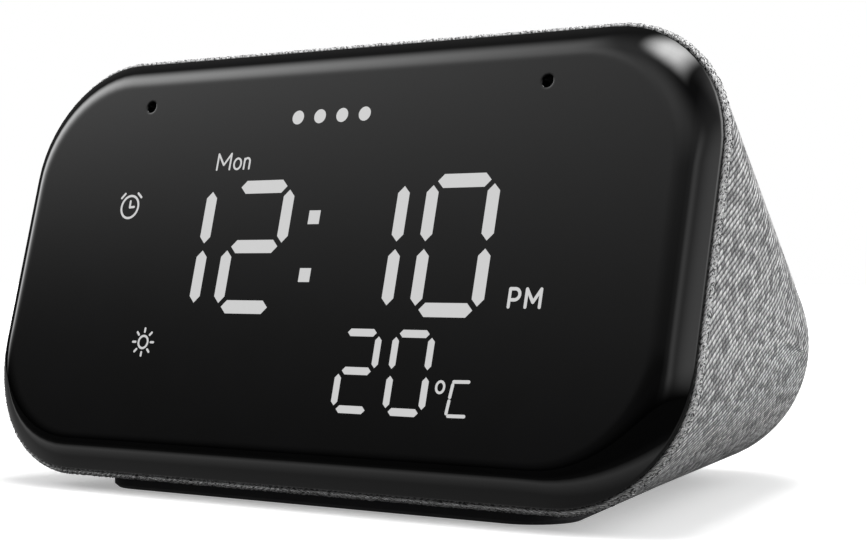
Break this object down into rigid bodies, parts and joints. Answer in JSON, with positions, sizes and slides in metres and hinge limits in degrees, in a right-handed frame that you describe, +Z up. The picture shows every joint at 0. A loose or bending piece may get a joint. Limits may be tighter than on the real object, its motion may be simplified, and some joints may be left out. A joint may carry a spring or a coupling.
{
  "type": "smart display",
  "caption": "Bedside smart clock display: glossy rolled-edge front with light segments, cloth-covered wedge body, top keys, rear sockets and mute slider, rubber foot.",
  "frame": {"origin": "middle of the footprint, on the surface it stands on", "axes": "+X to the right of someone facing the display, -Y out of the display, +Z up"},
  "size_m": [0.1206, 0.0832, 0.064],
  "materials": {
    "cover_gloss": "polished moulded acrylic, near-black smoke",
    "mask_film": "printed matt film",
    "light_block": "moulded, diffuse white",
    "light_guide": "moulded, milky",
    "board_dark": "solder mask",
    "board_green": "solder mask",
    "led_body": "moulded, clear yellow",
    "chip": "moulded epoxy",
    "frame_black": "moulded",
    "screw_steel": "zinc plated",
    "seal_rubber": "moulded",
    "mic_brass": "plated can",
    "shell_grey": "moulded",
    "sleeve_cloth": "woven melange, grey, black and white yarn",
    "base_grey": "moulded, fine spark texture",
    "foot_rubber": "moulded, matt",
    "shield_steel": "tinned sheet",
    "capacitor": "drawn can with sleeve",
    "connector": "moulded",
    "panel_grey": "moulded, fine spark texture",
    "socket_steel": "folded nickel-plated sheet",
    "socket_tongue": "moulded",
    "jack_black": "moulded",
    "contact_brass": "turned, plated",
    "mute_knob": "moulded",
    "night_lens": "moulded, opal",
    "key_grey": "soft-touch coated",
    "switch_steel": "stamped sheet",
    "gasket_foam": "die-cut foam",
    "basket_grey": "pressed and coated",
    "ferrite": "sintered ferrite",
    "yoke_steel": "zinc plated",
    "cone_paper": "pressed fibre",
    "coil_copper": "wound enamelled wire",
    "cap_cloth": "doped cloth",
    "surround_rubber": "moulded",
    "flex_amber": "polyimide film",
    "lead_red": "extruded sleeve"
  },
  "bodies": {
    "housing": {"front_cover": "cover_gloss", "light_mask": "mask_film", "light_block": "light_block", "time_light_guides": "light_guide", "temperature_light_guides": "light_guide", "legend_light_guides": "light_guide", "led_board": "board_dark", "display_leds": "led_body", "light_sensor": "chip", "front_frame": "frame_black", "frame_screws": "screw_steel", "mic_seals": "seal_rubber", "microphones": "mic_brass", "rear_shell": "shell_grey", "fabric_sleeve": "sleeve_cloth", "base_plate": "base_grey", "rubber_foot": "foot_rubber", "base_screws": "screw_steel", "main_board": "board_green", "board_screws": "screw_steel", "processor": "chip", "shield_can": "shield_steel", "board_capacitors": "capacitor", "board_connectors": "connector", "port_panel": "panel_grey", "usb_shell": "socket_steel", "usb_tongue": "socket_tongue", "power_jack": "jack_black", "power_pin": "contact_brass", "mute_switch": "socket_steel", "night_light_lens": "night_lens", "night_light_leds": "led_body", "key_board": "board_green", "key_switches": "switch_steel", "speaker_gasket": "gasket_foam", "speaker_basket": "basket_grey", "speaker_magnet": "ferrite", "speaker_yoke": "yoke_steel", "speaker_surround": "surround_rubber", "speaker_screws": "screw_steel", "display_flex": "flex_amber", "key_flex": "flex_amber", "speaker_leads": "lead_red"},
    "volume_down_key": {"volume_down_key": "key_grey"},
    "volume_up_key": {"volume_up_key": "key_grey"},
    "play_key": {"play_key": "key_grey"},
    "alarm_key": {"alarm_key": "key_grey"},
    "mute_knob": {"mute_knob": "mute_knob"},
    "cone": {"speaker_cone": "cone_paper", "voice_coil": "coil_copper", "dust_cap": "cap_cloth"}
  },
  "joints": [
    {"name": "volume_down_key_press", "type": "slide", "parent": "housing", "child": "volume_down_key", "axis": [0, -0.4385, -0.8987], "range_m": [0, 0.0005], "stiffness_N_per_m": 1500, "springref_m": -0.0005},
    {"name": "volume_up_key_press", "type": "slide", "parent": "housing", "child": "volume_up_key", "axis": [0, -0.4385, -0.8987], "range_m": [0, 0.0005], "stiffness_N_per_m": 1500, "springref_m": -0.0005},
    {"name": "play_key_press", "type": "slide", "parent": "housing", "child": "play_key", "axis": [0, -0.4385, -0.8987], "range_m": [0, 0.0005], "stiffness_N_per_m": 1500, "springref_m": -0.0005},
    {"name": "alarm_key_press", "type": "slide", "parent": "housing", "child": "alarm_key", "axis": [0, -0.4385, -0.8987], "range_m": [0, 0.0005], "stiffness_N_per_m": 1500, "springref_m": -0.0005},
    {"name": "mute_slide", "type": "slide", "parent": "housing", "child": "mute_knob", "axis": [1, 0, 0], "range_m": [0, 0.0025]},
    {"name": "cone_stroke", "type": "slide", "parent": "housing", "child": "cone", "axis": [0, 0.4385, 0.8987], "range_m": [-0.001, 0.001], "stiffness_N_per_m": 1200, "deforming": ["speaker_surround"]}
  ]
}
